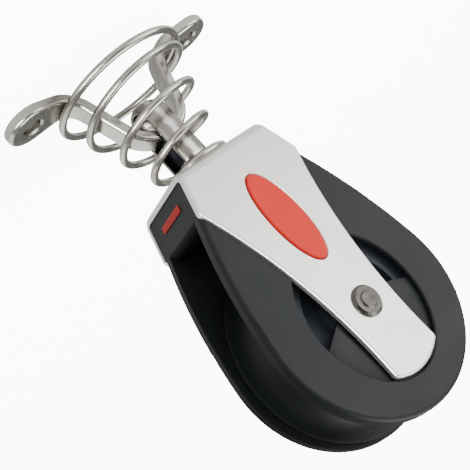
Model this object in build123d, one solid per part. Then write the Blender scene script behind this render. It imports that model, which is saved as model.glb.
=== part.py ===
from build123d import *
import os
from math import acos, atan2, ceil, cos, degrees, hypot, radians, sin, sqrt, tan

# A swivel block that stands up on a deck: an eye strap with a cone spring,
# a bow that swivels under the head, a folded strap over two cheeks, and a
# grooved sheave on a riveted axle. Millimetres. The deck plane is z = 0,
# x runs along the eye strap and z points away from the deck.

# Clearances
seat_gap = 0.03       # between pieces that are fixed to each other
running_gap = 0.05    # radial, between a shaft and what turns on it
face_gap = 0.08       # between flat faces that turn on each other

# Eye strap
screw_spacing = 54.2
screw_hole_radius = 2.65
screw_hole_bevel = .5
foot_radius = 6.8
eye_thickness = 3.2
leg_spread = 29.3     # between the legs' centre lines, where they meet the feet
leg_slope = 70.4      # degrees from the deck
crown_height = 24.6
foot_bend_radius = 7.0
leg_width = 6.2
neck_blend = 14.0     # between a leg's side and the flare of its foot
eye_edge = 1.0

# Bow and its swivel stud
bow_width = 7.5
bow_thickness = 2.0
bow_clearance = 0.3
bow_outer_edge = 1.3
bow_inner_edge = 0.4
bow_corner = 1.6
bow_length = 13.35    # from the pivot to the outer face of the head
bow_slack = 4.6       # from the pivot on to the centre of the loop's round end
stud_radius = 2.2
stud_head_radius = 3.1
stud_head_height = 1.4
stud_flange_radius = 4.2
stud_flange_height = 1.5
stud_flange_sink = 0.3
stud_flange_edge = 0.4
stud_dome_radius = 1.9       # flat top of the dome
stud_dome_side = 0.65        # straight side under the dome
bow_washer_radius = 6.4
bow_washer_thickness = 1.0
bow_washer_edge = 0.3
stud_washer_thickness = 0.5
counterbore_gap = 0.2        # radial, round the stud's flange

# Cone spring
wire_radius = 1.05
spring_base_radius = 19.1
spring_top_radius = 8.9
spring_base_lift = 0.35      # the wire rides on the bends beside the feet
spring_base_shift = (-0.8, 0.4)
spring_start_angle = -145.1  # degrees about z, where the first turn begins
spring_tail_turns = 0.15     # wire behind that point
spring_turns = 4.6
spring_base_turns = 0.65     # flat on the feet
spring_top_turns = 0.56      # flat on the head
spring_taper = 1.35
spring_steps = 14            # points of the wire's line in a turn

# Folded head strap
strap_thickness = 1.6
strap_span = 24.8            # over both outer faces
strap_bend_radius = 1.2      # inside the bend
strap_top_width = 30.2
strap_shoulder_width = 38.2
strap_shoulder_depth = 11.4
strap_waist_width = 21.5
strap_waist_depth = 40.3
strap_end_width = 18.2
strap_end_depth = 69.2
strap_end_radius = 16.7
strap_corner = 1.2
strap_edge = 0.7
flare_inset = 0.3            # cheeks and head block inside the strap's flared edge

# Oval inlay in each arm and the bar in the side of the head
inlay_width = 10.3
inlay_length = 26.9
inlay_depth = 24.2           # from the head's outer face to its centre
inlay_stand = 0.35           # proud of the strap
inlay_bevel = 0.5
key_length = 11.0
key_width = 1.9
key_sink = 1.6
key_stand = 0.25
key_corner = 0.4
inlay_rim = 0.3
key_depth = 6.0

# Head block
block_depth = 13.5           # from the head's outer face to its underside
block_rope_edge = 2.0

# Cheeks
cheek_thickness = 2.9
cheek_sink = 1.1             # cheek face below the strap's outer face
cheek_half_width = 30.0
cheek_half_height = 28.75
cheek_side_turn = 8.0        # degrees from the axle's level to the end of the round end
cheek_edge = 1.1
opening_half_width = 17.7
opening_half_height = 20.4
opening_shift = 0.3          # opening's centre beyond the axle
opening_edge = 0.35
strap_recess_gap = 0.15
wheel_recess_radius = 22.1   # hollow inside the cheek for the sheave's raised face
wheel_recess_depth = 1.5

# Axle
axle_depth = 51.9            # from the head's outer face
axle_radius = 3.0
axle_head_radius = 4.2
axle_head_height = 0.9
axle_head_side = 0.3         # straight side under the head's bevel
axle_head_bevel = 0.7
axle_boss_radius = 2.3
axle_boss_height = 0.4
axle_boss_bevel = 0.3
sleeve_radius = 5.0
bush_radius = 6.4
washer_thickness = 0.5

# Sheave
sheave_radius = 28.0
sheave_side_gap = 0.35       # to the inner face of each cheek
groove_bottom_radius = 20.4
lip_width = 1.2
lip_edge = 0.4
hub_radius = 8.6
raised_face_radius = 21.4
pocket_inner_radius = 9.9
pocket_outer_radius = 19.8
pocket_web = 6.0
pocket_count = 3
pocket_angle = 73.0
pocket_first_angle = 97.5    # degrees from x towards the sheave end
pocket_corner = 1.0

# Pose of the head on its swivel
swivel_angle = 5.5           # degrees, clockwise seen from the sheave end

# Places that follow from the sizes above
crown_slope = radians(leg_slope)
leg_apex = eye_thickness / 2 + leg_spread / 2 * tan(crown_slope)
crown_line = crown_height - eye_thickness / 2
crown_radius = (leg_apex - crown_line) / (1 / cos(crown_slope) - 1)
crown_centre = crown_line - crown_radius
crown_inner = crown_radius - eye_thickness / 2
crown_low = crown_centre + sqrt(crown_inner**2 - (bow_width / 2) ** 2)
pivot_height = (crown_height + crown_low) / 2
bow_radius = (
    hypot((crown_height - crown_low) / 2 - eye_edge, leg_width / 2 - eye_edge)
    + eye_edge
    + bow_clearance
)
head_height = pivot_height + bow_length
block_place = Location((0, 0, head_height), (0, 0, -swivel_angle))

strap_outer = strap_span / 2
strap_inner = strap_outer - strap_thickness
cheek_outer = strap_outer - cheek_sink
cheek_inner = cheek_outer - cheek_thickness
sheave_half = cheek_inner - sheave_side_gap
raised_half = sheave_half + wheel_recess_depth
hub_half = strap_inner - face_gap - washer_thickness - face_gap
bow_base_outer = -face_gap - bow_washer_thickness - seat_gap
bow_base_inner = bow_base_outer - bow_thickness


def slab(face, y_low, y_high):
    """A sketch in x and z, drawn out from one y to another."""
    return extrude(Plane.XZ.offset(-y_low) * face, -(y_high - y_low))


def ring(inner, outer, low, high):
    """A flat ring about z, between two heights."""
    return Pos(0, 0, low) * extrude(Circle(outer) - Circle(inner), high - low)


def on_axle(shape):
    """Turn a shape made about z onto the axle's line."""
    return Pos(0, 0, axle_depth) * Rot(90, 0, 0) * shape


def spun(points):
    """Revolve an outline of (radius, height) points about z."""
    return revolve(make_face(Plane.XZ * Polyline(*points, close=True)), Axis.Z)


def eye_outline():
    """Plan of the eye strap: round feet flaring from a narrow neck."""
    foot = Pos(-screw_spacing / 2, 0) * Circle(foot_radius)
    root = Pos(-leg_spread / 2, 0) * Circle(leg_width / 2)
    flare = make_hull(foot.edges() + root.edges())
    outline = Rectangle(leg_spread, leg_width) + flare + mirror(flare, Plane.YZ)
    necks = outline.vertices().filter_by(lambda corner: abs(corner.X) < leg_spread / 2 + 1)
    return fillet(necks, neck_blend)


def eye_strap():
    """Flat bar bent to two feet, two steep legs and a round crown."""
    bar_end = screw_spacing / 2 + 2 * foot_radius
    middle = eye_thickness / 2
    path = FilletPolyline(
        (-bar_end, 0, middle),
        (-leg_spread / 2, 0, middle),
        (0, 0, leg_apex),
        (leg_spread / 2, 0, middle),
        (bar_end, 0, middle),
        radius=[foot_bend_radius, crown_radius, foot_bend_radius],
    )
    section = Plane((-bar_end, 0, middle), x_dir=(0, 1, 0), z_dir=(1, 0, 0))
    bar = sweep(section * Rectangle(3 * foot_radius, eye_thickness), path)
    strap = bar & extrude(eye_outline(), crown_height + 1)
    rims = strap.edges().filter_by(lambda edge: abs((edge % 0.5).Z) < 0.999)
    rims = rims.filter_by(lambda edge: abs((edge % 0.5).Y) < 0.999)
    strap = fillet(rims, eye_edge)
    mouth_radius = screw_hole_radius + 2 * screw_hole_bevel
    hole = Cylinder(screw_hole_radius, 3 * eye_thickness)
    hole += Pos(0, 0, eye_thickness) * Cone(screw_hole_radius, mouth_radius, 2 * screw_hole_bevel)
    return strap - [Pos(side * screw_spacing / 2, 0) * hole for side in (-1, 1)]


def cone_spring():
    """Round wire wound in a cone, flat on the feet and flat on the head."""
    low = eye_thickness + spring_base_lift + wire_radius
    high = head_height - wire_radius - seat_gap
    free_turns = spring_turns - spring_base_turns - spring_top_turns

    def point(turn):
        rise = min(1.0, max(0.0, (turn - spring_base_turns) / free_turns))
        height = low + (high - low) * rise
        taper = 1 - (1 - rise) ** spring_taper
        radius = spring_base_radius - (spring_base_radius - spring_top_radius) * taper
        angle = radians(spring_start_angle + 360 * turn)
        x = spring_base_shift[0] * (1 - rise) + radius * cos(angle)
        y = spring_base_shift[1] * (1 - rise) + radius * sin(angle)
        return Vector(x, y, height)

    steps = ceil((spring_turns + spring_tail_turns) * spring_steps)
    step = (spring_turns + spring_tail_turns) / steps
    path = Spline(*[point(-spring_tail_turns + step * i) for i in range(steps + 1)])
    section = Plane(path @ 0, z_dir=path % 0) * Circle(wire_radius)
    return sweep(section, path)


def swivel_bow():
    """Closed loop of flat bar round the crown, with the stud's seat."""
    outer_radius = bow_radius + bow_thickness
    reach = bow_length + bow_slack
    height = reach + bow_base_outer
    outer = Pos(0, -reach) * Circle(outer_radius)
    outer += Pos(0, -reach + height / 2) * Rectangle(2 * outer_radius, height)
    corners = outer.vertices().group_by(Axis.Y)[-1]
    outer = fillet(corners, bow_corner)
    inner_height = reach + bow_base_inner
    inner = Pos(0, -reach) * Circle(bow_radius)
    inner += Pos(0, -reach + inner_height / 2) * Rectangle(2 * bow_radius, inner_height)
    loop = extrude(Plane.YZ * (outer - inner), bow_width / 2, both=True)
    sides = loop.faces().filter_by(Axis.X)
    loop = fillet([edge for face in sides for edge in face.outer_wire().edges()], bow_outer_edge)
    sides = loop.faces().filter_by(Axis.X)
    loop = fillet([edge for face in sides for edge in face.inner_wires()[0].edges()], bow_inner_edge)
    hole = Cylinder(stud_radius + seat_gap, 4 * bow_thickness)
    return loop - Pos(0, 0, bow_base_outer) * hole


def swivel_stud():
    """Rivet-like stud: domed end in the bow, wide flange under the head."""
    dome = bow_base_inner - seat_gap
    flange = block_depth - stud_flange_sink
    shoulder = flange - stud_flange_height
    top = dome - stud_head_height
    outline = [
        (0, top),
        (stud_dome_radius, top),
        (stud_head_radius, dome - stud_dome_side),
        (stud_head_radius, dome),
        (stud_radius, dome),
        (stud_radius, shoulder),
        (stud_flange_radius, shoulder),
        (stud_flange_radius, flange - stud_flange_edge),
        (stud_flange_radius - stud_flange_edge, flange),
        (0, flange),
    ]
    return spun(outline)


def stud_seat_depth():
    """Floor of the counterbore that holds the stud's flange and washer."""
    shoulder = block_depth - stud_flange_sink - stud_flange_height
    return shoulder - 2 * face_gap - stud_washer_thickness


def bow_washer():
    """Washer between the bow and the head, fixed to the bow."""
    low = -face_gap - bow_washer_thickness
    disc = ring(stud_radius + seat_gap, bow_washer_radius, low, -face_gap)
    return chamfer(disc.faces().sort_by(Axis.Z)[0].outer_wire().edges(), bow_washer_edge)


def stud_washer():
    """Thin washer above the stud's flange."""
    low = stud_seat_depth() + face_gap
    high = low + stud_washer_thickness
    return ring(stud_radius + running_gap, stud_flange_radius, low, high)


def strap_outline(grow):
    """Outline of the strap's face in x and z, grown all round."""
    half_top = strap_top_width / 2 + grow
    half_shoulder = strap_shoulder_width / 2 + grow
    half_waist = strap_waist_width / 2 + grow
    half_end = strap_end_width / 2 + grow
    end_sag = strap_end_radius - sqrt(strap_end_radius**2 - (strap_end_width / 2) ** 2)
    tip = strap_end_depth + end_sag + grow
    right = Line((half_top, 0), (half_shoulder, strap_shoulder_depth))
    right += ThreePointArc(
        (half_shoulder, strap_shoulder_depth),
        (half_waist, strap_waist_depth),
        (half_end, strap_end_depth + grow * 0.5),
    )
    end = ThreePointArc(
        (half_end, strap_end_depth + grow * 0.5),
        (0, tip),
        (-half_end, strap_end_depth + grow * 0.5),
    )
    top = Line((-half_top, 0), (half_top, 0))
    face = make_face(right + end + mirror(right, Plane.YZ) + top)
    corners = face.vertices().filter_by(lambda v: v.Y > 1)
    return fillet(corners, strap_corner)


def inlay_ellipse(grow):
    """The oval of the inlay, grown all round."""
    oval = Ellipse(inlay_width / 2 + grow, inlay_length / 2 + grow)
    return Pos(0, inlay_depth) * oval


def fold_core(gap):
    """Space inside the folded strap, less a gap all round."""
    reach = strap_end_depth + strap_end_radius
    top = strap_thickness + gap
    half = strap_inner - gap
    profile = Pos(0, top + reach / 2) * Rectangle(2 * half, reach)
    profile = fillet(profile.vertices().group_by(Axis.Y)[0], strap_bend_radius)
    return extrude(Plane.YZ * profile, strap_shoulder_width, both=True)


def on_outer_face(edge):
    """Whether an edge of the bare strap lies on its outer face."""
    bend = strap_bend_radius + strap_thickness
    middle = edge @ 0.5
    across = abs(middle.Y) - (strap_outer - bend)
    if across < 0:
        return middle.Z < 0.01
    if middle.Z > bend:
        return across > bend - 0.01
    return hypot(across, middle.Z - bend) > bend - 0.01


def head_strap():
    """One sheet folded over the head, an arm down each side to the axle."""
    reach = strap_end_depth + strap_end_radius
    bend = strap_bend_radius + strap_thickness
    profile = Pos(0, reach / 2) * Rectangle(2 * strap_outer, reach)
    profile = fillet(profile.vertices().group_by(Axis.Y)[0], bend)
    fold = extrude(Plane.YZ * profile, strap_shoulder_width, both=True) - fold_core(0)
    strap = fold & slab(strap_outline(0), -strap_span, strap_span)
    rims = strap.edges().filter_by(on_outer_face)
    rims = rims.filter_by(lambda edge: edge.geom_type != GeomType.LINE or abs((edge % 0.5).X) < 0.999)
    strap = fillet(rims, strap_edge)
    strap -= slab(inlay_ellipse(0), -strap_span, strap_span)
    for side in (0, -1):
        face = strap.faces().filter_by(Axis.Y).sort_by(Axis.Y)[side]
        strap = chamfer(face.inner_wires()[0].edges(), inlay_bevel)
    strap -= on_axle(Cylinder(axle_radius + seat_gap, 2 * strap_span))
    return strap - Cylinder(stud_radius + running_gap, 4 * strap_thickness)


def arm_inlay(side):
    """Oval lens that fills the window in one arm."""
    lens = slab(inlay_ellipse(-seat_gap), strap_inner + seat_gap, strap_outer + inlay_stand)
    lens = fillet(lens.faces().sort_by(Axis.Y)[-1].edges(), inlay_rim)
    return lens if side > 0 else mirror(lens, Plane.XZ)


def key_plane():
    """Plane on the flared side of the head block, facing out."""
    flare = (strap_shoulder_width - strap_top_width) / 2 / strap_shoulder_depth
    place = (strap_top_width / 2 - flare_inset + flare * key_depth, 0, key_depth)
    return Plane(place, x_dir=(0, 1, 0), z_dir=(1, 0, -flare))


def side_key():
    """Narrow bar let into the side of the head block."""
    height = key_sink + key_stand - seat_gap
    bar = Pos(0, 0, key_stand - height / 2) * Box(key_length, key_width, height)
    bar = fillet(bar.edges().filter_by(Axis.Z), key_corner)
    return key_plane() * bar


def head_block():
    """Block between the cheeks under the fold, bored for the stud."""
    half_top = strap_top_width / 2 - flare_inset
    half_shoulder = strap_shoulder_width / 2 - flare_inset
    flare = (half_shoulder - half_top) / strap_shoulder_depth
    top = strap_thickness + seat_gap
    outline = [
        (half_top + flare * top, top),
        (half_shoulder, strap_shoulder_depth),
        (half_shoulder, block_depth),
        (-half_shoulder, block_depth),
        (-half_shoulder, strap_shoulder_depth),
        (-half_top - flare * top, top),
    ]
    half = cheek_inner - seat_gap
    block = slab(make_face(Polyline(*outline, close=True)), -half, half)
    rope_edges = block.edges().filter_by(Axis.Y).group_by(Axis.Z)[-1]
    block = fillet(rope_edges, block_rope_edge)
    seat = block_depth - stud_seat_depth()
    bore = Cylinder(stud_radius + running_gap, 4 * block_depth)
    counterbore = Cylinder(stud_flange_radius + counterbore_gap, 2 * seat)
    slot_size = Box(key_length + 2 * seat_gap, key_width + 2 * seat_gap, 2 * key_sink)
    block -= Pos(0, 0, block_depth) * counterbore
    block -= bore
    return block - key_plane() * slot_size


def cheek_outline():
    """Outline of a cheek in x and z: flared top, bulging sides, round end."""
    half_top = strap_top_width / 2 - flare_inset
    half_shoulder = strap_shoulder_width / 2 - flare_inset
    turn = radians(cheek_side_turn)
    side_x = cheek_half_width * cos(turn)
    side_z = axle_depth - cheek_half_height * sin(turn)
    slope = (-cheek_half_width * sin(turn), -cheek_half_height * cos(turn))
    right = Line((half_top, 0), (half_shoulder, strap_shoulder_depth))
    right += TangentArc((side_x, side_z), (half_shoulder, strap_shoulder_depth), tangent=slope)
    round_end = EllipticalCenterArc(
        (0, axle_depth),
        cheek_half_width,
        cheek_half_height,
        -cheek_side_turn,
        arc_size=180 + 2 * cheek_side_turn,
    )
    top = Line((-half_top, 0), (half_top, 0))
    return make_face(right + round_end + mirror(right, Plane.YZ) + top)


def cheek(side):
    """Side plate with an oval opening and recesses for the strap and sheave."""
    plate = slab(cheek_outline(), cheek_inner, cheek_outer)
    plate = fillet(plate.faces().sort_by(Axis.Y)[-1].outer_wire().edges(), cheek_edge)
    hollow = Pos(0, axle_depth) * Circle(wheel_recess_radius)
    plate -= slab(hollow, 0, cheek_inner + wheel_recess_depth)
    opening = Pos(0, axle_depth + opening_shift) * Ellipse(opening_half_width, opening_half_height)
    plate -= slab(opening, 0, strap_span)
    rim = plate.faces().sort_by(Axis.Y)[-1].inner_wires()[0].edges()
    plate = chamfer(rim, opening_edge)
    plate -= slab(strap_outline(strap_recess_gap), 0, strap_span) - fold_core(seat_gap)
    return plate if side > 0 else mirror(plate, Plane.XZ)


def axle_rivet():
    """Riveted axle with a flat head and a raised boss at each end."""
    face = strap_outer + seat_gap
    head = face + axle_head_height
    half = [
        (0, 0),
        (axle_radius, 0),
        (axle_radius, face),
        (axle_head_radius, face),
        (axle_head_radius, face + axle_head_side),
        (axle_head_radius - axle_head_bevel, head),
        (axle_boss_radius, head),
        (axle_boss_radius - axle_boss_bevel, head + axle_boss_height),
        (0, head + axle_boss_height),
    ]
    shape = spun(half)
    return on_axle(shape + mirror(shape, Plane.XY))


def axle_sleeve():
    """Tube on the axle that keeps the two arms apart."""
    half = strap_inner - seat_gap
    return on_axle(ring(axle_radius + seat_gap, sleeve_radius, -half, half))


def sheave_washer(side):
    """Thin washer between the hub and one arm of the strap."""
    low = hub_half + face_gap
    disc = ring(sleeve_radius + running_gap, hub_radius, low, low + washer_thickness)
    return on_axle(disc if side < 0 else mirror(disc, Plane.XY))


def sheave_bush():
    """Plain bearing pressed into the sheave's hub."""
    return on_axle(ring(sleeve_radius + running_gap, bush_radius, -hub_half, hub_half))


def sheave():
    """Grooved wheel with a hub and shallow pockets between its spokes."""
    groove_half = sheave_half - lip_width
    bore = bush_radius + seat_gap
    rim = Polyline(
        (groove_half, sheave_radius),
        (sheave_half - lip_edge, sheave_radius),
        (sheave_half, sheave_radius - lip_edge),
        (sheave_half, raised_face_radius + lip_edge),
        (raised_half, raised_face_radius - lip_edge),
        (raised_half, hub_radius),
        (hub_half, hub_radius),
        (hub_half, bore),
        (-hub_half, bore),
        (-hub_half, hub_radius),
        (-raised_half, hub_radius),
        (-raised_half, raised_face_radius - lip_edge),
        (-sheave_half, raised_face_radius + lip_edge),
        (-sheave_half, sheave_radius - lip_edge),
        (-sheave_half + lip_edge, sheave_radius),
        (-groove_half, sheave_radius),
    )
    groove = ThreePointArc(
        (-groove_half, sheave_radius), (0, groove_bottom_radius), (groove_half, sheave_radius)
    )
    outline = make_face(rim + groove)
    wheel = revolve(Plane.YZ * outline, Axis.Y)
    band = Circle(pocket_outer_radius) - Circle(pocket_inner_radius)
    reach = 2 * pocket_outer_radius
    half_angle = radians(pocket_angle / 2)
    wedge = Polyline(
        (0, 0),
        (reach * cos(half_angle), -reach * sin(half_angle)),
        (reach * cos(half_angle), reach * sin(half_angle)),
        close=True,
    )
    pocket = band & make_face(wedge)
    pocket = fillet(pocket.vertices(), pocket_corner)
    for index in range(pocket_count):
        turned = Rot(0, 0, pocket_first_angle + index * 360 / pocket_count) * pocket
        wheel -= slab(turned, pocket_web / 2, strap_span)
        wheel -= slab(turned, -strap_span, -pocket_web / 2)
    return Pos(0, 0, axle_depth) * wheel


def save(shape, name, place=Location()):
    """Write one piece to its own file."""
    export_step(place * shape, f"parts/{name}.step")


os.makedirs("parts", exist_ok=True)

deck_end = {
    "eye_strap": eye_strap(),
    "stand_up_spring": cone_spring(),
}
block_end = {
    "swivel_bow": swivel_bow(),
    "swivel_stud": swivel_stud(),
    "bow_washer": bow_washer(),
    "stud_washer": stud_washer(),
    "head_strap": head_strap(),
    "head_block": head_block(),
    "side_key": side_key(),
    "axle_rivet": axle_rivet(),
    "axle_sleeve": axle_sleeve(),
    "sheave_bush": sheave_bush(),
    "sheave": sheave(),
}
for side, label in ((-1, "front"), (1, "rear")):
    block_end[f"{label}_cheek"] = cheek(side)
    block_end[f"{label}_inlay"] = arm_inlay(side)
    block_end[f"{label}_washer"] = sheave_washer(side)

for name, shape in deck_end.items():
    save(shape, name)
for name, shape in block_end.items():
    save(shape, name, block_place)
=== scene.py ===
import logging
import math
from dataclasses import dataclass, field
from enum import Enum

import bpy
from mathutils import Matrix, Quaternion, Vector


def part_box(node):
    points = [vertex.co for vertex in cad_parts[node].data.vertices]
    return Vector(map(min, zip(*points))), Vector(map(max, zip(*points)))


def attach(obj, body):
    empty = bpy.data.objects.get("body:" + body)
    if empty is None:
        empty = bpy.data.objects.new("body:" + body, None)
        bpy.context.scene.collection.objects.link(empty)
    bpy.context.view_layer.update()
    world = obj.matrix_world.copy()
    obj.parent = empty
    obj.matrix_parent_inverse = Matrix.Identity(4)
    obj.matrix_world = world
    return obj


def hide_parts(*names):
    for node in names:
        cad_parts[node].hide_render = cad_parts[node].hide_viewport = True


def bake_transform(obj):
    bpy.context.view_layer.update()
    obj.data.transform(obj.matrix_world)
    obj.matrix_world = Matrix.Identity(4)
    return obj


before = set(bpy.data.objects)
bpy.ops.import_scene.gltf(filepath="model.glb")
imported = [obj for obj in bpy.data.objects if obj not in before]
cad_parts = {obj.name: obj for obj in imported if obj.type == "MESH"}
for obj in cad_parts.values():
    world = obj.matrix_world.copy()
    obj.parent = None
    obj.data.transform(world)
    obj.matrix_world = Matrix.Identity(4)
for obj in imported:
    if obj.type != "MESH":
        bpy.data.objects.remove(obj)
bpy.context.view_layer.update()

log = logging.getLogger("swivel_block")

Colour = tuple[float, float, float]
Triple = tuple[float, float, float]
Node = bpy.types.Node
Piece = bpy.types.Object
Socket = bpy.types.NodeSocket

MM = 0.001
HEAD_TURN = math.radians(-5.5)
SMOOTH_ANGLE = math.radians(35)
ROUND_FACETS = 2
MERGE_DISTANCE = 0.000005


class Grain(Enum):
    """Which way the fine marks of a finish run."""

    EVEN = (1.0, 1.0, 1.0)
    ALONG_Y = (1.0, 0.06, 1.0)
    ALONG_Z = (1.0, 1.0, 0.05)


@dataclass(frozen=True)
class Bench:
    """A node tree with short calls for adding and joining nodes.

    Attributes:
        tree: the node tree of a material, world or group.
    """

    tree: bpy.types.NodeTree

    def add(self, kind: str, **values: object) -> Node:
        """Add a node.

        Args:
            kind: Blender's node type.
            values: properties of the node, by name.

        Returns:
            The new node.
        """
        node = self.tree.nodes.new(kind)
        for name, value in values.items():
            setattr(node, name, value)
        return node

    def join(self, start: Socket, end: Socket) -> None:
        """Link an output to an input."""
        self.tree.links.new(start, end)

    def feed(self, value: object, end: Socket) -> None:
        """Link a socket to an input, or set the input to a number.

        Args:
            value: a socket or a number.
            end: the input.
        """
        if isinstance(value, Socket):
            self.join(value, end)
        else:
            end.default_value = float(value)

    def math(self, operation: str, first: object, second: object = 0.0) -> Socket:
        """Add a Math node.

        Args:
            operation: name of the operation.
            first: a socket or a number.
            second: a socket or a number.

        Returns:
            The node's output.
        """
        node = self.add("ShaderNodeMath", operation=operation)
        self.feed(first, node.inputs[0])
        self.feed(second, node.inputs[1])
        return node.outputs[0]

    def noise(self, vector: Socket, scale: object, detail: float, distortion: float = 0.0) -> Socket:
        """Add a noise texture.

        Args:
            vector: where the noise is read.
            scale: cells per metre, as a socket or a number.
            detail: octaves.
            distortion: how far the cells are pulled about.

        Returns:
            The noise's value, about 0.5 on average.
        """
        node = self.add("ShaderNodeTexNoise")
        node.inputs["Detail"].default_value = detail
        node.inputs["Distortion"].default_value = distortion
        self.feed(scale, node.inputs["Scale"])
        self.join(vector, node.inputs["Vector"])
        return node.outputs["Fac"]

    def voronoi(self, vector: Socket, scale: Socket, feature: str) -> Socket:
        """Add a cell texture.

        Args:
            vector: where the cells are read.
            scale: cells per metre.
            feature: which distance is measured.

        Returns:
            The distance.
        """
        node = self.add("ShaderNodeTexVoronoi", feature=feature)
        self.join(vector, node.inputs["Vector"])
        self.join(scale, node.inputs["Scale"])
        return node.outputs["Distance"]

    def mask(self, value: Socket, zero: float, one: float) -> Socket:
        """Add a mask with a soft edge.

        Args:
            value: what the mask goes by.
            zero: the value at which it is 0.
            one: the value at which it is 1.

        Returns:
            The mask.
        """
        node = self.add("ShaderNodeMapRange", interpolation_type="SMOOTHSTEP")
        node.inputs["From Min"].default_value = zero
        node.inputs["From Max"].default_value = one
        self.join(value, node.inputs["Value"])
        return node.outputs["Result"]

    def within(self, value: Socket, reach: float, edge: float) -> Socket:
        """Add a mask that is 1 up to a reach, with a soft edge round it."""
        return self.mask(value, reach + edge, reach - edge)

    def blend(self, mask: Socket, first: object, second: Colour) -> Socket:
        """Lay one colour over another.

        Args:
            mask: how much of the second colour shows.
            first: a colour, or a socket that gives one.
            second: the colour on top.

        Returns:
            The mixed colour.
        """
        node = self.add("ShaderNodeMix", data_type="RGBA")
        if isinstance(first, Socket):
            self.join(first, node.inputs["A"])
        else:
            node.inputs["A"].default_value = (*first, 1.0)
        node.inputs["B"].default_value = (*second, 1.0)
        self.join(mask, node.inputs["Factor"])
        return node.outputs["Result"]

    def group(self, tree: bpy.types.NodeTree, vector: Socket, **values: float) -> Node:
        """Add a shared group.

        Args:
            tree: the group.
            vector: where it is read.
            values: its inputs, by name.

        Returns:
            The group's node.
        """
        node = self.add("ShaderNodeGroup", node_tree=tree)
        for name, value in values.items():
            node.inputs[name].default_value = value
        self.join(vector, node.inputs["Vector"])
        return node

    def bump(self, height: Socket, depth: float) -> Socket:
        """Turn a height into a normal.

        Args:
            height: the height, as a share of the depth.
            depth: depth of the marks, in metres.

        Returns:
            The normal.
        """
        node = self.add("ShaderNodeBump")
        node.inputs["Strength"].default_value = 1.0
        node.inputs["Distance"].default_value = depth
        self.join(height, node.inputs["Height"])
        return node.outputs["Normal"]


class SharedGroups:
    """Shader node groups that several finishes use."""

    NOISE_MEAN = 0.5
    FINE_DETAIL = 3.0
    FINE_SHARE = 0.65
    COARSE_SCALE = 0.13
    COARSE_DETAIL = 2.0
    SMUDGE_DETAIL = 4.0
    SMUDGE_DISTORTION = 0.6
    SMUDGE_START = 0.42
    SMUDGE_FULL = 0.72
    HAIRLINE_SCALE = 3.0
    HAIRLINE_WIDTH = 0.012
    CLOUD_SCALE = 45.0
    CLOUD_DETAIL = 3.0

    def __init__(self) -> None:
        """Build each group once."""
        self.grain = self._grain()
        self.handling = self._handling()
        self.moulding = self._moulding()

    @staticmethod
    def _start(name: str, inputs: dict[str, float], outputs: tuple[str, str]) -> tuple[Bench, Node, Node]:
        """Make an empty group.

        Args:
            name: the group's name.
            inputs: names and defaults of its float inputs.
            outputs: names of its float outputs.

        Returns:
            The bench, the group's input node and its output node.
        """
        tree = bpy.data.node_groups.new(name, "ShaderNodeTree")
        tree.interface.new_socket("Vector", in_out="INPUT", socket_type="NodeSocketVector")
        for label, value in inputs.items():
            socket = tree.interface.new_socket(label, in_out="INPUT", socket_type="NodeSocketFloat")
            socket.default_value = value
        for label in outputs:
            tree.interface.new_socket(label, in_out="OUTPUT", socket_type="NodeSocketFloat")
        bench = Bench(tree)
        return bench, bench.add("NodeGroupInput"), bench.add("NodeGroupOutput")

    def _grain(self) -> bpy.types.NodeTree:
        """Fine drawn or blasted marks, as a height and a value round 1.

        Returns:
            The group.
        """
        bench, source, result = self._start(
            "surface_grain", {"Scale": 9000.0, "Spread": 0.2}, ("Height", "Value")
        )
        place, scale = source.outputs["Vector"], source.outputs["Scale"]
        fine = bench.noise(place, scale, self.FINE_DETAIL)
        wide = bench.math("MULTIPLY", scale, self.COARSE_SCALE)
        coarse = bench.noise(place, wide, self.COARSE_DETAIL)
        mixed = bench.math(
            "ADD", bench.math("MULTIPLY", fine, self.FINE_SHARE),
            bench.math("MULTIPLY", coarse, 1 - self.FINE_SHARE),
        )
        swing = bench.math("SUBTRACT", mixed, self.NOISE_MEAN)
        swing = bench.math("MULTIPLY", swing, source.outputs["Spread"])
        bench.join(mixed, result.inputs["Height"])
        bench.join(bench.math("ADD", swing, 1.0), result.inputs["Value"])
        return bench.tree

    def _handling(self) -> bpy.types.NodeTree:
        """Soft smudges and sparse hairlines from handling, as masks.

        Returns:
            The group.
        """
        bench, source, result = self._start(
            "handling_marks", {"Scale": 60.0, "Amount": 0.5}, ("Smudge", "Hairline")
        )
        place, scale = source.outputs["Vector"], source.outputs["Scale"]
        cloud = bench.noise(place, scale, self.SMUDGE_DETAIL, self.SMUDGE_DISTORTION)
        close = bench.math("MULTIPLY", scale, self.HAIRLINE_SCALE)
        crack = bench.voronoi(place, close, "DISTANCE_TO_EDGE")
        marks = {
            "Smudge": bench.mask(cloud, self.SMUDGE_START, self.SMUDGE_FULL),
            "Hairline": bench.mask(crack, self.HAIRLINE_WIDTH, 0.0),
        }
        for name, mark in marks.items():
            bench.join(bench.math("MULTIPLY", mark, source.outputs["Amount"]), result.inputs[name])
        return bench.tree

    def _moulding(self) -> bpy.types.NodeTree:
        """Spark-eroded mould texture, as a height and a tone mask.

        Returns:
            The group.
        """
        bench, source, result = self._start(
            "moulded_texture", {"Scale": 3200.0, "Depth": 1.0}, ("Height", "Tone")
        )
        place = source.outputs["Vector"]
        pits = bench.voronoi(place, source.outputs["Scale"], "SMOOTH_F1")
        height = bench.math("MULTIPLY", pits, source.outputs["Depth"])
        bench.join(height, result.inputs["Height"])
        tone = bench.noise(place, self.CLOUD_SCALE, self.CLOUD_DETAIL)
        bench.join(tone, result.inputs["Tone"])
        return bench.tree


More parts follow.
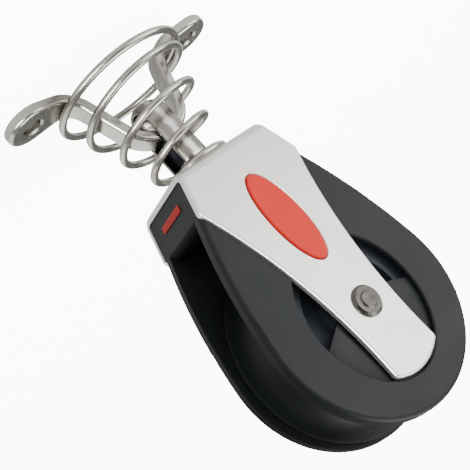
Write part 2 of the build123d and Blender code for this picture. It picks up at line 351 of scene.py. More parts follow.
def start_material(name: str) -> tuple[bpy.types.Material, Bench, Node]:
    """Make a material with nodes.

    Args:
        name: the material's name.

    Returns:
        The material, its bench and its shader node.
    """
    material = bpy.data.materials.new(name)
    material.use_nodes = True
    tree = material.node_tree
    return material, Bench(tree), tree.nodes["Principled BSDF"]


@dataclass(frozen=True)
class Finish:
    """What every finish has.

    Attributes:
        name: the material's name.
        tone: base colour.
    """

    name: str
    tone: Colour

    def _tint(self, bench: Bench, place: Socket, colour: Socket) -> Socket:
        """Leave the colour as it is.

        Args:
            bench: the material's bench.
            place: object coordinates.
            colour: the colour so far.

        Returns:
            The colour to use.
        """
        return colour


@dataclass(frozen=True)
class MetalFinish(Finish):
    """A bare metal surface.

    Attributes:
        shade: base colour in the smudged places.
        roughness: mean roughness.
        grain: which way the marks run.
        grain_scale: marks per metre.
        grain_depth: height of the marks, in metres.
        roughness_spread: how far the roughness varies.
        handling: strength of smudges and hairlines.
        smudge_scale: smudges per metre.
        smudge_roughness: what a smudge adds to the roughness.
        hairline_roughness: what a hairline adds to it.
    """

    shade: Colour
    roughness: float
    grain: Grain
    grain_scale: float
    grain_depth: float
    roughness_spread: float = 0.3
    handling: float = 0.4
    smudge_scale: float = 70.0
    smudge_roughness: float = 0.08
    hairline_roughness: float = 0.10

    def build(self, groups: SharedGroups) -> bpy.types.Material:
        """Make the material.

        Args:
            groups: the shared node groups.

        Returns:
            The material.
        """
        material, bench, shader = start_material(self.name)
        shader.inputs["Metallic"].default_value = 1.0
        place = bench.add("ShaderNodeTexCoord").outputs["Object"]
        stretch = bench.add("ShaderNodeMapping")
        stretch.inputs["Scale"].default_value = self.grain.value
        bench.join(place, stretch.inputs["Vector"])
        marks = bench.group(
            groups.grain, stretch.outputs["Vector"], Scale=self.grain_scale, Spread=self.roughness_spread
        )
        wear = bench.group(groups.handling, place, Scale=self.smudge_scale, Amount=self.handling)
        colour = bench.blend(wear.outputs["Smudge"], self.tone, self.shade)
        bench.join(self._tint(bench, place, colour), shader.inputs["Base Color"])
        rough = bench.math("MULTIPLY", marks.outputs["Value"], self.roughness)
        for mark, added in (("Smudge", self.smudge_roughness), ("Hairline", self.hairline_roughness)):
            rough = bench.math("ADD", rough, bench.math("MULTIPLY", wear.outputs[mark], added))
        bench.join(rough, shader.inputs["Roughness"])
        bench.join(bench.bump(marks.outputs["Height"], self.grain_depth), shader.inputs["Normal"])
        return material


@dataclass(frozen=True)
class PaintedLightBarFinish(MetalFinish):
    """A bar with a painted highlight along its outer side and painted shade inside its loop.

    Attributes:
        painted_highlight: colour of the painted highlight.
        painted_highlight_place: where the painted highlight lies across the bar, in metres.
        painted_highlight_width: half the painted highlight's width.
        painted_highlight_edge: half the width of its soft edge.
        wave: how far the painted highlight wanders.
        wave_scale: waves per metre.
        inside: colour of the painted shade inside the loop.
        painted_shade_reach: half the loop's opening.
        painted_shade_edge: half the width of its soft edge.
        painted_shade_start: height from which the inside is painted as shade.
        start_edge: half the width of that soft edge.
    """

    painted_highlight: Colour = (0.78, 0.74, 0.70)
    painted_highlight_place: float = 0.2 * MM
    painted_highlight_width: float = 0.9 * MM
    painted_highlight_edge: float = 0.63 * MM
    wave: float = 2.0 * MM
    wave_scale: float = 500.0
    inside: Colour = (0.020, 0.022, 0.028)
    painted_shade_reach: float = 3.69 * MM
    painted_shade_edge: float = 0.03 * MM
    painted_shade_start: float = 23.5 * MM
    start_edge: float = 0.8 * MM

    def _tint(self, bench: Bench, place: Socket, colour: Socket) -> Socket:
        """Add the painted highlight and the painted shade inside the loop.

        Args:
            bench: the material's bench.
            place: object coordinates.
            colour: the colour so far.

        Returns:
            The colour to use.
        """
        parts = bench.add("ShaderNodeSeparateXYZ")
        bench.join(place, parts.inputs[0])
        swing = bench.noise(place, self.wave_scale, SharedGroups.COARSE_DETAIL)
        swing = bench.math("SUBTRACT", swing, SharedGroups.NOISE_MEAN)
        wave = bench.math("MULTIPLY", swing, self.wave)
        across = bench.math("SUBTRACT", bench.math("ADD", parts.outputs["X"], wave), self.painted_highlight_place)
        # Painted highlight: a bright stripe along the middle of the bar's outer side.
        painted_highlight = bench.within(bench.math("ABSOLUTE", across), self.painted_highlight_width, self.painted_highlight_edge)
        # Painted shade: the loop's inner faces, above the given height, are painted nearly black.
        depth = bench.math("ABSOLUTE", parts.outputs["Y"])
        inside = bench.within(depth, self.painted_shade_reach, self.painted_shade_edge)
        below = bench.within(parts.outputs["Z"], self.painted_shade_start, self.start_edge)
        inside = bench.math("MULTIPLY", inside, bench.math("SUBTRACT", 1.0, below))
        for mask, shade in ((painted_highlight, self.painted_highlight), (inside, self.inside)):
            colour = bench.blend(mask, colour, shade)
        return colour


@dataclass(frozen=True)
class PlasticFinish(Finish):
    """A moulded plastic surface.

    Attributes:
        light_tone: base colour in the paler clouds of the moulding.
        roughness: mean roughness.
        texture_scale: pits per metre.
        texture_depth: depth of the pits, in metres.
        gloss: specular level.
        handling: strength of the smudges.
        smudge_scale: smudges per metre.
        smudge_polish: what a smudge takes off the roughness.
    """

    light_tone: Colour
    roughness: float
    texture_scale: float
    texture_depth: float
    gloss: float = 0.5
    handling: float = 0.35
    smudge_scale: float = 55.0
    smudge_polish: float = 0.12

    def build(self, groups: SharedGroups) -> bpy.types.Material:
        """Make the material.

        Args:
            groups: the shared node groups.

        Returns:
            The material.
        """
        material, bench, shader = start_material(self.name)
        shader.inputs["Specular IOR Level"].default_value = self.gloss
        place = bench.add("ShaderNodeTexCoord").outputs["Object"]
        skin = bench.group(groups.moulding, place, Scale=self.texture_scale, Depth=1.0)
        wear = bench.group(groups.handling, place, Scale=self.smudge_scale, Amount=self.handling)
        colour = bench.blend(skin.outputs["Tone"], self.tone, self.light_tone)
        bench.join(self._tint(bench, place, colour), shader.inputs["Base Color"])
        polish = bench.math("MULTIPLY", wear.outputs["Smudge"], self.smudge_polish)
        bench.join(bench.math("SUBTRACT", self.roughness, polish), shader.inputs["Roughness"])
        bench.join(bench.bump(skin.outputs["Height"], self.texture_depth), shader.inputs["Normal"])
        return material


@dataclass(frozen=True)
class PaintedLightWheelFinish(PlasticFinish):
    """A moulded wheel whose sides near the hub are painted lighter, as painted light.

    Attributes:
        painted_light: the lighter colour painted on the sides near the hub.
        reach: how far the painted light reaches from the axle.
        edge: half the width of its soft edge.
        middle: the wheel's middle, in metres.
        axle: direction of the axle.
    """

    painted_light: Colour = (0.040, 0.046, 0.058)
    reach: float = 20.15 * MM
    edge: float = 0.15 * MM
    middle: Triple = (0.0, 0.0, 87.806 * MM)
    axle: Triple = (-math.sin(HEAD_TURN), math.cos(HEAD_TURN), 0.0)

    def _tint(self, bench: Bench, place: Socket, colour: Socket) -> Socket:
        """Add the dust round the hub.

        Args:
            bench: the material's bench.
            Paint the sides round the hub lighter, as painted light.
            colour: the colour so far.

        Returns:
            The colour to use.
        """
        local = bench.add("ShaderNodeVectorMath", operation="SUBTRACT")
        local.inputs[1].default_value = self.middle
        bench.join(place, local.inputs[0])
        lever = bench.add("ShaderNodeVectorMath", operation="CROSS_PRODUCT")
        lever.inputs[1].default_value = self.axle
        bench.join(local.outputs["Vector"], lever.inputs[0])
        away = bench.add("ShaderNodeVectorMath", operation="LENGTH")
        bench.join(lever.outputs["Vector"], away.inputs[0])
        # Painted light: within the reach of the axle the sides are painted lighter.
        painted_light_mask = bench.within(away.outputs["Value"], self.reach, self.edge)
        return bench.blend(painted_light_mask, colour, self.painted_light)


POLISHED_STEEL = MetalFinish(
    "polished_steel", (0.50, 0.485, 0.45), (0.26, 0.25, 0.215), 0.21,
    Grain.EVEN, 2600.0, 0.000006, 0.5, 0.8,
)
SPRING_WIRE = MetalFinish(
    "spring_wire", (0.46, 0.445, 0.40), (0.26, 0.25, 0.215), 0.22, Grain.EVEN, 3000.0, 0.000003, 0.4, 0.7
)
SATIN_STEEL = MetalFinish(
    "satin_steel", (0.70, 0.685, 0.655), (0.62, 0.605, 0.575), 0.38,
    Grain.ALONG_Z, 6000.0, 0.000004, 0.2, 0.4,
)
# The bow's bar has a painted highlight along its outer side and painted shade inside its loop.
BOW_STEEL = PaintedLightBarFinish(
    "bow_steel", (0.27, 0.255, 0.23), (0.16, 0.15, 0.13), 0.24, Grain.EVEN, 2400.0, 0.000006, 0.5, 0.8
)
TUBE_STEEL = MetalFinish(
    "tube_steel", (0.52, 0.51, 0.49), (0.42, 0.41, 0.39), 0.26, Grain.ALONG_Y, 3000.0, 0.000004, 0.4, 0.4
)
RIVET_STEEL = MetalFinish(
    "rivet_steel", (0.34, 0.33, 0.30), (0.22, 0.215, 0.19), 0.30, Grain.EVEN, 1400.0, 0.00003, 0.6, 0.9
)
HAMMERED_STEEL = MetalFinish(
    "hammered_steel", (0.10, 0.096, 0.085), (0.045, 0.043, 0.037), 0.30,
    Grain.EVEN, 700.0, 0.0005, 0.6, 1.0,
)
CHEEK_BLACK = PlasticFinish(
    "cheek_black", (0.0092, 0.0112, 0.0132), (0.0125, 0.0146, 0.0162), 0.52, 2600.0, 0.000012, 0.22
)
# The sheave's sides near the hub are painted lighter, as painted light in the shade between the cheeks.
SHEAVE_BLACK = PaintedLightWheelFinish(
    "sheave_black", (0.0095, 0.0118, 0.0142), (0.0130, 0.0152, 0.0172), 0.48, 2200.0, 0.000010, 0.25
)
CORAL_RED = PlasticFinish(
    "coral_red", (0.72, 0.022, 0.012), (0.76, 0.030, 0.018), 0.50, 2600.0, 0.000010, 0.20
)
# The coral red darkened as painted shade, for the bar on the head's shaded side.
SHADED_RED = PlasticFinish(
    "shaded_red", (0.38, 0.016, 0.010), (0.42, 0.022, 0.014), 0.55, 2600.0, 0.000010, 0.20
)
BEARING_PLASTIC = PlasticFinish(
    "bearing_plastic", (0.62, 0.60, 0.54), (0.68, 0.66, 0.60), 0.45, 2000.0, 0.000006, 0.5
)
BUSH_PLASTIC = PlasticFinish(
    "bush_plastic", (0.58, 0.55, 0.48), (0.64, 0.61, 0.54), 0.42, 1800.0, 0.000006, 0.5
)


class Workshop:
    """Mesh work by hand: one piece at a time, selected in code."""

    @staticmethod
    def clear() -> None:
        """Deselect everything."""
        bpy.ops.object.select_all(action="DESELECT")

    @staticmethod
    def settle(name: str, scale: Triple = (1, 1, 1)) -> Piece:
        """Name the active piece and put its scale and place into its mesh.

        Args:
            name: its new name.
            scale: its scale.

        Returns:
            The piece.
        """
        piece = bpy.context.object
        piece.scale = scale
        piece.name = name
        piece.data.name = name
        bpy.ops.object.transform_apply(location=True, rotation=True, scale=True)
        return piece

    @staticmethod
    def pick(piece: Piece) -> None:
        """Make a piece the only one selected, and active."""
        Workshop.clear()
        piece.select_set(True)
        bpy.context.view_layer.objects.active = piece

    @staticmethod
    def open_mesh() -> None:
        """Go into the active piece's mesh, with all of it selected."""
        bpy.ops.object.mode_set(mode="EDIT")
        bpy.ops.mesh.select_all(action="SELECT")

    @staticmethod
    def close_mesh() -> None:
        """Merge doubles, turn the normals outwards and leave the mesh."""
        bpy.ops.mesh.select_all(action="SELECT")
        bpy.ops.mesh.remove_doubles(threshold=MERGE_DISTANCE)
        bpy.ops.mesh.normals_make_consistent(inside=False)
        bpy.ops.object.mode_set(mode="OBJECT")

    @staticmethod
    def turned(name: str, outline: list[tuple[float, float]], sides: int) -> Piece:
        """Turn a closed outline round z, as on a lathe.

        Args:
            name: the piece's name.
            outline: radius and height of each corner, in metres.
            sides: flats round the piece.

        Returns:
            The turned piece.
        """
        radius, height = outline[0]
        Workshop.clear()
        bpy.ops.mesh.primitive_circle_add(
            vertices=sides, radius=radius, location=(0, 0, height), fill_type="NOTHING"
        )
        piece = Workshop.settle(name)
        Workshop.open_mesh()
        for next_radius, next_height in outline[1:] + outline[:1]:
            step = (0, 0, next_height - height)
            bpy.ops.mesh.extrude_region_move(TRANSFORM_OT_translate={"value": step})
            grown = next_radius / radius
            bpy.ops.transform.resize(value=(grown, grown, 1), center_override=(0, 0, next_height))
            radius, height = next_radius, next_height
        Workshop.close_mesh()
        return piece

    @staticmethod
    def cut(piece: Piece, tool: Piece) -> None:
        """Cut a tool's shape out of a piece, and drop the tool.

        Args:
            piece: what is cut.
            tool: what cuts it.
        """
        Workshop.pick(piece)
        change = piece.modifiers.new("cut", "BOOLEAN")
        change.operation = "DIFFERENCE"
        change.solver = "EXACT"
        change.object = tool
        bpy.ops.object.modifier_apply(modifier=change.name)
        bpy.data.objects.remove(tool, do_unlink=True)

    @staticmethod
    def soften(piece: Piece, width: float) -> None:
        """Round a piece's sharp edges and smooth the rest.

        Args:
            piece: what is rounded.
            width: width of the rounding.
        """
        Workshop.pick(piece)
        change = piece.modifiers.new("soften", "BEVEL")
        change.limit_method = "ANGLE"
        change.angle_limit = SMOOTH_ANGLE
        change.width = width
        change.segments = ROUND_FACETS
        bpy.ops.object.modifier_apply(modifier=change.name)
        bpy.ops.object.shade_smooth_by_angle(angle=SMOOTH_ANGLE)

    @staticmethod
    def onto_axle(piece: Piece) -> None:
        """Turn a piece made about z onto the axle, its +z to the front."""
        low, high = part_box("sheave_bush")
        Workshop.pick(piece)
        piece.rotation_euler = (math.pi / 2, 0, HEAD_TURN)
        piece.location = (low + high) / 2
        bpy.ops.object.transform_apply(location=True, rotation=True, scale=True)


@dataclass
class ConeSpring:
    """Round wire wound in a cone from the feet to the head.

    Attributes:
        wire: radius of the wire, in metres.
        base: radius of the widest turn.
        top: radius of the narrowest turn.
        turns: turns past the start.
        tail: turns behind the start.
        base_flat: turns that lie flat on the feet.
        top_flat: turns that lie flat on the head.
        taper: how fast the cone narrows.
        start: angle of the start about z, in degrees.
        shift: where the base turn's centre lies.
        steps: steps in one turn.
        sides: flats round the wire.
    """

    wire: float = 1.05 * MM
    base: float = 19.1 * MM
    top: float = 8.9 * MM
    turns: float = 4.6
    tail: float = 0.15
    base_flat: float = 0.65
    top_flat: float = 0.56
    taper: float = 1.35
    start: float = -145.1
    shift: tuple[float, float] = (-0.8 * MM, 0.4 * MM)
    steps: int = 44
    sides: int = 18

    def angle(self, turn: float) -> float:
        """Angle about z at a turn, in radians."""
        return math.radians(self.start + 360 * turn)

    def centre(self, turn: float, low: float, high: float) -> Vector:
        """Centre of the wire.

        Args:
            turn: turns from the start.
            low: height of the flat base turn.
            high: height of the flat top turn.

        Returns:
            The point, in metres.
        """
        free = self.turns - self.base_flat - self.top_flat
        rise = min(1.0, max(0.0, (turn - self.base_flat) / free))
        radius = self.base - (self.base - self.top) * (1 - (1 - rise) ** self.taper)
        return Vector((
            self.shift[0] * (1 - rise) + radius * math.cos(self.angle(turn)),
            self.shift[1] * (1 - rise) + radius * math.sin(self.angle(turn)),
            low + (high - low) * rise,
        ))

    def build(self, material: bpy.types.Material) -> None:
        """Walk the wire's section round the cone.

        Args:
            material: what the wire takes.
        """
        corner_low, corner_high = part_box("stand_up_spring")
        low = corner_low.z + self.wire
        high = corner_high.z - self.wire
        span = self.turns + self.tail
        count = round(span * self.steps)
        turns = [-self.tail + span * index / count for index in range(count + 1)]
        here = self.centre(turns[0], low, high)
        Workshop.clear()
        bpy.ops.mesh.primitive_circle_add(
            vertices=self.sides, radius=self.wire, location=here,
            rotation=(math.pi / 2, 0, self.angle(turns[0])), fill_type="NOTHING",
        )
        spring = Workshop.settle("spring_wire_coil")
        Workshop.open_mesh()
        for before, after in zip(turns, turns[1:]):
            there = self.centre(after, low, high)
            bpy.ops.mesh.extrude_region_move(TRANSFORM_OT_translate={"value": there - here})
            bend = self.angle(after) - self.angle(before)
            bpy.ops.transform.rotate(value=-bend, orient_axis="Z", center_override=there)
            here = there
        bpy.ops.mesh.edge_face_add()
        bpy.ops.mesh.select_all(action="DESELECT")
        bpy.ops.mesh.select_non_manifold()
        bpy.ops.mesh.edge_face_add()
        Workshop.close_mesh()
        bpy.ops.object.shade_smooth_by_angle(angle=SMOOTH_ANGLE)
        spring.data.materials.append(material)
        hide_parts("stand_up_spring")
        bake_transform(spring)
        log.info("spring of %d steps", count)


@dataclass
class SubAssembly:
    """Pieces that move together.

    Attributes:
        groups: the shared node groups.
    """

    groups: SharedGroups

    def _cover(self, finish: Finish, *nodes: str) -> None:
        """Give CAD nodes a better material.

        Args:
            finish: what they take.
            nodes: names of the nodes.
        """
        material = finish.build(self.groups)
        for name in nodes:
            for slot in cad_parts[name].material_slots:
                slot.material = material
            log.info("dressed %s in %s", name, finish.name)


@dataclass
class DeckEnd(SubAssembly):
    """What is screwed to the deck: the eye strap, with the spring on its feet.

    Attributes:
        strap: node of the eye strap.
        bar: finish of the bent bar.
        wire: finish of the spring.
        spring: the spring itself.
    """

    strap: str = "eye_strap"
    bar: MetalFinish = POLISHED_STEEL
    wire: MetalFinish = SPRING_WIRE
    spring: ConeSpring = field(default_factory=ConeSpring)

    def build(self) -> None:
        """Wind the spring."""
        self.spring.build(self.wire.build(self.groups))

    def dress(self) -> None:
        """Finish the strap."""
        self._cover(self.bar, self.strap)


@dataclass
class Bow(SubAssembly):
    """What leans on the crown: the loop of flat bar with its stud and washer.

    Attributes:
        loop: node of the loop.
        washer: node of the washer under the head.
        stud: node of the riveted stud.
        width: width of the bar.
        thickness: thickness of the bar at its middle.
        crown: how far the outer side is rounded.
        opening_radius: half the loop's opening.
        corner: outer radius of the corners at the base.
        edge: rounding of the bar's edges.
        sides: flats round the ellipse that the bar is cut from.
        corner_steps: steps round a corner.
        end_steps: steps round the loop's end.
        bar: finish of the loop.
        head: finish of the stud.
    """

    loop: str = "swivel_bow"
    washer: str = "bow_washer"
    stud: str = "swivel_stud"
    width: float = 7.5 * MM
    thickness: float = 2.0 * MM
    crown: float = 1.6 * MM
    opening_radius: float = 3.645 * MM
    corner: float = 1.7 * MM
    edge: float = 0.3 * MM
    sides: int = 40
    corner_steps: int = 6
    end_steps: int = 24
    bar: MetalFinish = BOW_STEEL
    head: MetalFinish = RIVET_STEEL

    @staticmethod
    def _arc(
        centre: tuple[float, float], radius: float, start: float, sweep: float, steps: int
    ) -> list[Triple]:
        """Arc of the line, without its first point.

        Args:
            centre: its centre in y and z.
            radius: its radius.
            start: direction at its start, in radians from y to z.
            sweep: how far the direction turns.
            steps: steps on it.

        Returns:
            Each point's y, z and direction.
        """
        headings = [start + sweep * step / steps for step in range(1, steps + 1)]
        return [
            (centre[0] + radius * math.sin(heading), centre[1] - radius * math.cos(heading), heading)
            for heading in headings
        ]

    def _line(self) -> list[Triple]:
        """Line of the loop's inner side, once round in y and z.

        Returns:
            Each point's y, z and direction in radians from y to z.
        """
        low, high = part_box(self.loop)
        quarter = math.pi / 2
        base = high.z - self.thickness
        end = low.z + self.thickness + self.opening_radius
        side = self.opening_radius
        inset = self.corner - self.thickness / 2
        level = base - inset
        points = [(0.0, base, 2 * quarter), (inset - side, base, 2 * quarter)]
        points += self._arc((inset - side, level), inset, 2 * quarter, quarter, self.corner_steps)
        points.append((-side, end, 3 * quarter))
        points += self._arc((0.0, end), side, 3 * quarter, 2 * quarter, self.end_steps)
        points.append((side, level, 5 * quarter))
        points += self._arc((side - inset, level), inset, 5 * quarter, quarter, self.corner_steps)
        points.append((0.0, base, 6 * quarter))
        return points

    def build(self) -> None:
        """Walk a bar with a crowned outer side round the loop."""
        points = self._line()
        y, z, heading = points[0]
        Workshop.clear()
        bpy.ops.mesh.primitive_circle_add(
            vertices=self.sides, radius=self.width / 2, location=(0, y, z + self.thickness - self.crown),
            rotation=(math.pi / 2, 0, 0), fill_type="NGON",
        )
        bow = Workshop.settle("crowned_bow", (1, self.crown / (self.width / 2), 1))
        Workshop.open_mesh()
        bpy.ops.mesh.bisect(plane_co=(0, y, z), plane_no=(0, 0, 1), clear_inner=True, use_fill=False)
        bpy.ops.mesh.select_all(action="SELECT")
        bpy.ops.mesh.delete(type="ONLY_FACE")
        bpy.ops.mesh.select_all(action="SELECT")
        for next_y, next_z, next_heading in points[1:]:
            step = (0, next_y - y, next_z - z)
            bpy.ops.mesh.extrude_region_move(TRANSFORM_OT_translate={"value": step})
            bpy.ops.transform.rotate(
                value=heading - next_heading, orient_axis="X", center_override=(0, next_y, next_z)
            )
            y, z, heading = next_y, next_z, next_heading
        Workshop.close_mesh()
        Workshop.soften(bow, self.edge)
        bow.data.materials.append(self.bar.build(self.groups))
        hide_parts(self.loop)
        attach(bow, "bow")
        log.info("bow of %d faces", len(bow.data.polygons))

    def dress(self) -> None:
        """Finish the washer and the stud."""
        self._cover(POLISHED_STEEL, self.washer)
        self._cover(self.head, self.stud)


@dataclass
class Head(SubAssembly):
    """What turns on the stud: the folded strap, the cheeks and the axle.

    Attributes:
        strap: node of the folded strap.
        shell: nodes of the black mouldings.
        lenses: nodes of the red ovals.
        key: node of the red bar.
        rivet: node of the axle.
        tube: node of the tube round the axle.
        washers: nodes of the plain washers.
        web_half_width: half the width of the web in a cheek's opening.
        web_half_height: half its height.
        web_shift: its centre beyond the axle.
        web_inner: its inner face, from the middle of the head.
        web_outer: its outer face.
        web_apex: where its two upper edges would meet, from the axle.
        web_slope: angle of those edges from the head's length, in degrees.
        web_bore: radius of its hole for the hub.
        web_edge: rounding of its edges.
        web_sides: flats round its outline.
        bore_sides: flats round its hole.
        sheet: finish of the strap.
        moulding: finish of the black mouldings.
        red: finish of the ovals.
        painted_shade_red: finish of the bar, the coral red darkened as painted shade.
        hammered: finish of the axle's riveted ends.
        drawn: finish of the tube.
        bearing: finish of the washers.
    """

    strap: str = "head_strap"
    shell: tuple[str, ...] = ("front_cheek", "rear_cheek", "head_block")
    lenses: tuple[str, ...] = ("front_inlay", "rear_inlay")
    key: str = "side_key"
    rivet: str = "axle_rivet"
    tube: str = "axle_sleeve"
    washers: tuple[str, ...] = ("stud_washer", "front_washer", "rear_washer")
    web_half_width: float = 17.62 * MM
    web_half_height: float = 20.32 * MM
    web_shift: float = 0.3 * MM
    web_inner: float = 8.45 * MM
    web_outer: float = 10.15 * MM
    web_apex: float = -5.1 * MM
    web_slope: float = 66.2
    web_bore: float = 8.8 * MM
    web_edge: float = 0.25 * MM
    web_sides: int = 160
    bore_sides: int = 96
    sheet: MetalFinish = SATIN_STEEL
    moulding: PlasticFinish = CHEEK_BLACK
    red: PlasticFinish = CORAL_RED
    painted_shade_red: PlasticFinish = SHADED_RED
    hammered: MetalFinish = HAMMERED_STEEL
    drawn: MetalFinish = TUBE_STEEL
    bearing: PlasticFinish = BEARING_PLASTIC

    def _web(self, name: str, side: int) -> Piece:
        """Cut the web that closes the lower part of a cheek's opening.

        Args:
            name: the piece's name.
            side: 1 for the front, -1 for the rear.

        Returns:
            The web.
        """
        Workshop.clear()
        middle = (self.web_inner + self.web_outer) / 2
        bpy.ops.mesh.primitive_cylinder_add(
            vertices=self.web_sides, radius=1.0, depth=self.web_outer - self.web_inner,
            location=(0, self.web_shift, side * middle), end_fill_type="NGON",
        )
        web = Workshop.settle(name, (self.web_half_width, self.web_half_height, 1))
        bpy.ops.object.mode_set(mode="EDIT")
        slope = math.radians(self.web_slope)
        for across in (-1, 1):
            bpy.ops.mesh.select_all(action="SELECT")
            bpy.ops.mesh.bisect(
                plane_co=(0, self.web_apex, 0), clear_outer=True, use_fill=True,
                plane_no=(across * math.cos(slope), -math.sin(slope), 0),
            )
        bpy.ops.object.mode_set(mode="OBJECT")
        Workshop.clear()
        bpy.ops.mesh.primitive_cylinder_add(
            vertices=self.bore_sides, radius=self.web_bore, depth=4 * self.web_outer
        )
        Workshop.cut(web, bpy.context.object)
        Workshop.soften(web, self.web_edge)
        Workshop.onto_axle(web)
        return web

    def build(self) -> None:
        """Make the webs of both cheeks."""
        material = self.moulding.build(self.groups)
        for name, side in (("front_cheek_web", 1), ("rear_cheek_web", -1)):
            web = self._web(name, side)
            web.data.materials.append(material)
            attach(web, "head")
            log.info("%s of %d faces", name, len(web.data.polygons))

    def dress(self) -> None:
        """Finish each piece of the head."""
        self._cover(self.sheet, self.strap)
        self._cover(self.moulding, *self.shell)
        self._cover(self.red, *self.lenses)
        self._cover(self.painted_shade_red, self.key)
        self._cover(self.hammered, self.rivet)
        self._cover(self.drawn, self.tube)
        self._cover(self.bearing, *self.washers)


@dataclass
class Wheel(SubAssembly):
    """What turns on the axle: the sheave and the bush in its hub.

    Attributes:
        sheave: node of the wheel.
        bush: node of the bush.
        radius: outer radius of the wheel.
        half: half its width over the lips.
        lip: width of each lip.
        lip_edge: rounding of each lip.
        lip_corner: how far that takes off its corner.
        groove_radius: radius at the bottom of the groove.
        hub_radius: radius of the hub.
        hub_half: half the hub's length.
        hub_edge: bevel of the hub's end.
        bore: radius of the hub's bore.
        pocket_inner: inner radius of the pockets.
        pocket_outer: outer radius of the pockets.
        pocket_floor: floor of the pockets, from the middle.
        pocket_angle: span of a pocket, in degrees.
        pocket_turn: middle of the first pocket, in degrees.
        pockets: number of pockets on each side.
        edge: rounding of all other edges.
        sides: flats round the wheel.
        groove_steps: steps across the groove.
        pocket_steps: steps along a pocket.
        moulding: finish of the wheel.
        lining: finish of the bush.
    """

    sheave: str = "sheave"
    bush: str = "sheave_bush"
    radius: float = 28.0 * MM
    half: float = 8.05 * MM
    lip: float = 1.2 * MM
    lip_edge: float = 0.4 * MM
    lip_corner: float = 0.12 * MM
    groove_radius: float = 20.4 * MM
    hub_radius: float = 8.6 * MM
    hub_half: float = 10.14 * MM
    hub_edge: float = 0.2 * MM
    bore: float = 6.43 * MM
    pocket_inner: float = 9.9 * MM
    pocket_outer: float = 15.4 * MM
    pocket_floor: float = 5.7 * MM
    pocket_angle: float = 104.0
    pocket_turn: float = 83.0
    pockets: int = 3
    edge: float = 0.2 * MM
    sides: int = 160
    groove_steps: int = 24
    pocket_steps: int = 30
    moulding: PlasticFinish = SHEAVE_BLACK
    lining: PlasticFinish = BUSH_PLASTIC

    def _outline(self) -> list[tuple[float, float]]:
        """Closed outline of the wheel: bore, hub, side, lip and groove.

        Returns:
            Radius and height of each corner, in metres.
        """
        groove_half = self.half - self.lip
        side = [
            (self.bore, self.hub_half),
            (self.hub_radius - self.hub_edge, self.hub_half),
            (self.hub_radius, self.hub_half - self.hub_edge),
            (self.hub_radius, self.half),
            (self.radius - self.lip_edge, self.half),
            (self.radius - self.lip_corner, self.half - self.lip_corner),
            (self.radius, self.half - self.lip_edge),
            (self.radius, groove_half),
        ]
        depth = self.radius - self.groove_radius
        arc = (groove_half**2 + depth**2) / (2 * depth)
        centre = self.groove_radius + arc
        spread = math.acos((centre - self.radius) / arc)
        groove = []
        for step in range(1, self.groove_steps):
            turn = spread * (1 - 2 * step / self.groove_steps)
            groove.append((centre - arc * math.cos(turn), arc * math.sin(turn)))
        below = [(radius, -height) for radius, height in reversed(side)]
        return side + groove + below

    def _pocket(self, middle: float, side: int) -> Piece:
        """Make the cutter for one pocket.

        Args:
            middle: angle of the pocket's middle, in degrees.
            side: 1 for the front, -1 for the rear.

        Returns:
            The cutter.
        """
        start = math.radians(middle - self.pocket_angle / 2)
        mean = (self.pocket_inner + self.pocket_outer) / 2
        top = self.hub_half
        height = side * (self.pocket_floor + top) / 2
        Workshop.clear()
        bpy.ops.mesh.primitive_plane_add(
            size=1, location=(mean * math.cos(start), mean * math.sin(start), height),
            rotation=(math.pi / 2, 0, start),
        )
        size = (self.pocket_outer - self.pocket_inner, top - self.pocket_floor, 1)
        cutter = Workshop.settle("pocket_cutter", size)
        Workshop.open_mesh()
        span = math.radians(self.pocket_angle)
        bpy.ops.mesh.spin(steps=self.pocket_steps, angle=span, center=(0, 0, 0), axis=(0, 0, 1))
        Workshop.close_mesh()
        return cutter

    def build(self) -> None:
        """Turn the wheel and cut its pockets."""
        wheel = Workshop.turned("grooved_sheave", self._outline(), self.sides)
        for index in range(self.pockets):
            middle = self.pocket_turn + index * 360 / self.pockets
            for side in (1, -1):
                Workshop.cut(wheel, self._pocket(middle, side))
        Workshop.soften(wheel, self.edge)
        Workshop.onto_axle(wheel)
        wheel.data.materials.append(self.moulding.build(self.groups))
        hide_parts(self.sheave)
        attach(wheel, "wheel")
        log.info("sheave of %d faces", len(wheel.data.polygons))

    def dress(self) -> None:
        """Finish the bush."""
        self._cover(self.lining, self.bush)


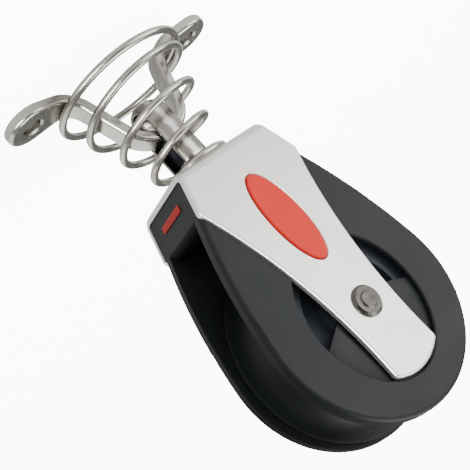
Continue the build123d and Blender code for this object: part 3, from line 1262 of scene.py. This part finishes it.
@dataclass
class Studio:
    """Floor, lights and camera.

    Attributes:
        eye: the camera's place, in metres.
        azimuth: direction of view about z, in degrees from x.
        elevation: direction of view over the horizon, in degrees.
        roll: turn of the camera about its line of sight, in degrees.
        lens: focal length, in millimetres.
        sensor: width of the sensor, in millimetres.
        nearest: distance from which it sees, in metres.
        aim: the point that the lights face.
        floor_size: width of the floor.
        floor_drop: how far it lies below the deck plane.
        floor_tone: how pale it is.
        room: light of the room round the object.
        backdrop: light of the backdrop in the picture itself.
    """

    eye: Triple = (130.6 * MM, -187.8 * MM, 82.7 * MM)
    azimuth: float = 123.73
    elevation: float = -7.214
    roll: float = 137.1
    lens: float = 70.28
    sensor: float = 36.0
    nearest: float = 0.005
    aim: Triple = (0.0, 0.0, 0.06)
    floor_size: float = 3.0
    floor_drop: float = 0.2 * MM
    floor_tone: float = 0.93
    room: float = 0.30
    backdrop: float = 11.0

    def build(self) -> None:
        """Set up everything round the object."""
        self._world()
        self._floor()
        self._camera()
        self._light("face_light", (-0.55, -0.62, 0.10), 0.80, 9.0)
        self._light("top_light", (-0.10, -0.10, 0.95), 0.80, 12.0)
        rim = self._light("rim_light", (0.58, -0.36, 0.04), 0.50, 16.0)
        back = self._light("back_light", (0.40, 0.78, 0.20), 1.20, 8.0)
        steel = (
            "head_strap", "eye_strap", "spring_wire_coil", "crowned_bow", "bow_washer", "swivel_stud",
        )
        for light in (rim, back):
            self._only_on(light, steel)
        back.visible_camera = False

    def _world(self) -> None:
        """Dim room for reflections, white where the camera sees it."""
        world = bpy.data.worlds.new("soft_world")
        bpy.context.scene.world = world
        world.use_nodes = True
        bench = Bench(world.node_tree)
        background = world.node_tree.nodes["Background"]
        background.inputs["Color"].default_value = (1.0, 1.0, 1.0, 1.0)
        seen = bench.add("ShaderNodeLightPath").outputs["Is Camera Ray"]
        extra = bench.math("MULTIPLY", seen, self.backdrop - self.room)
        bench.join(bench.math("ADD", extra, self.room), background.inputs["Strength"])

    def _floor(self) -> None:
        """Plain pale floor on the deck plane."""
        Workshop.clear()
        bpy.ops.mesh.primitive_plane_add(size=self.floor_size, location=(0, 0, -self.floor_drop))
        floor = Workshop.settle("pale_floor")
        material, bench, shader = start_material("pale_floor")
        shader.inputs["Base Color"].default_value = (*[self.floor_tone] * 3, 1.0)
        shader.inputs["Roughness"].default_value = 0.8
        shader.inputs["Emission Color"].default_value = (1.0, 1.0, 1.0, 1.0)
        seen = bench.add("ShaderNodeLightPath").outputs["Is Camera Ray"]
        glow = bench.math("MULTIPLY", seen, self.backdrop - 1.0)
        bench.join(glow, shader.inputs["Emission Strength"])
        floor.data.materials.append(material)

    def _camera(self) -> None:
        """Camera at the photograph's viewing angle."""
        across = math.radians(self.azimuth)
        up = math.radians(self.elevation)
        level = math.cos(up)
        sight = Vector((level * math.cos(across), level * math.sin(across), math.sin(up)))
        camera = bpy.data.objects.new("photo_camera", bpy.data.cameras.new("photo_camera"))
        bpy.context.scene.collection.objects.link(camera)
        camera.location = self.eye
        turn = sight.to_track_quat("-Z", "Y") @ Quaternion((0, 0, 1), math.radians(self.roll))
        camera.rotation_mode = "QUATERNION"
        camera.rotation_quaternion = turn
        camera.data.sensor_width = self.sensor
        camera.data.lens = self.lens
        camera.data.clip_start = self.nearest
        bpy.context.scene.camera = camera

    def _only_on(self, light: Piece, names: tuple[str, ...]) -> None:
        """Let a light fall on some pieces only.

        Args:
            light: the light.
            names: names of the objects that it lights.
        """
        lit = bpy.data.collections.new(light.name + "_on")
        for name in names:
            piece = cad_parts.get(name) or bpy.data.objects[name]
            lit.objects.link(piece)
        light.light_linking.receiver_collection = lit

    def _light(self, name: str, place: Triple, size: float, power: float) -> Piece:
        """Add one soft square light aimed at the object.

        Args:
            name: the light's name.
            place: where it stands, in metres.
            size: its width.
            power: its power in watts.

        Returns:
            The light.
        """
        lamp = bpy.data.lights.new(name, "AREA")
        lamp.shape = "SQUARE"
        lamp.size = size
        lamp.energy = power
        light = bpy.data.objects.new(name, lamp)
        bpy.context.scene.collection.objects.link(light)
        light.location = place
        ray = Vector(self.aim) - Vector(place)
        light.rotation_euler = ray.to_track_quat("-Z", "Y").to_euler()
        return light


def main() -> None:
    """Build the dressed block and its studio."""
    logging.basicConfig(level=logging.INFO)
    groups = SharedGroups()
    for kind in (DeckEnd, Bow, Head, Wheel):
        part = kind(groups)
        part.build()
        part.dress()
    Studio().build()


if __name__ == "__main__":
    main()
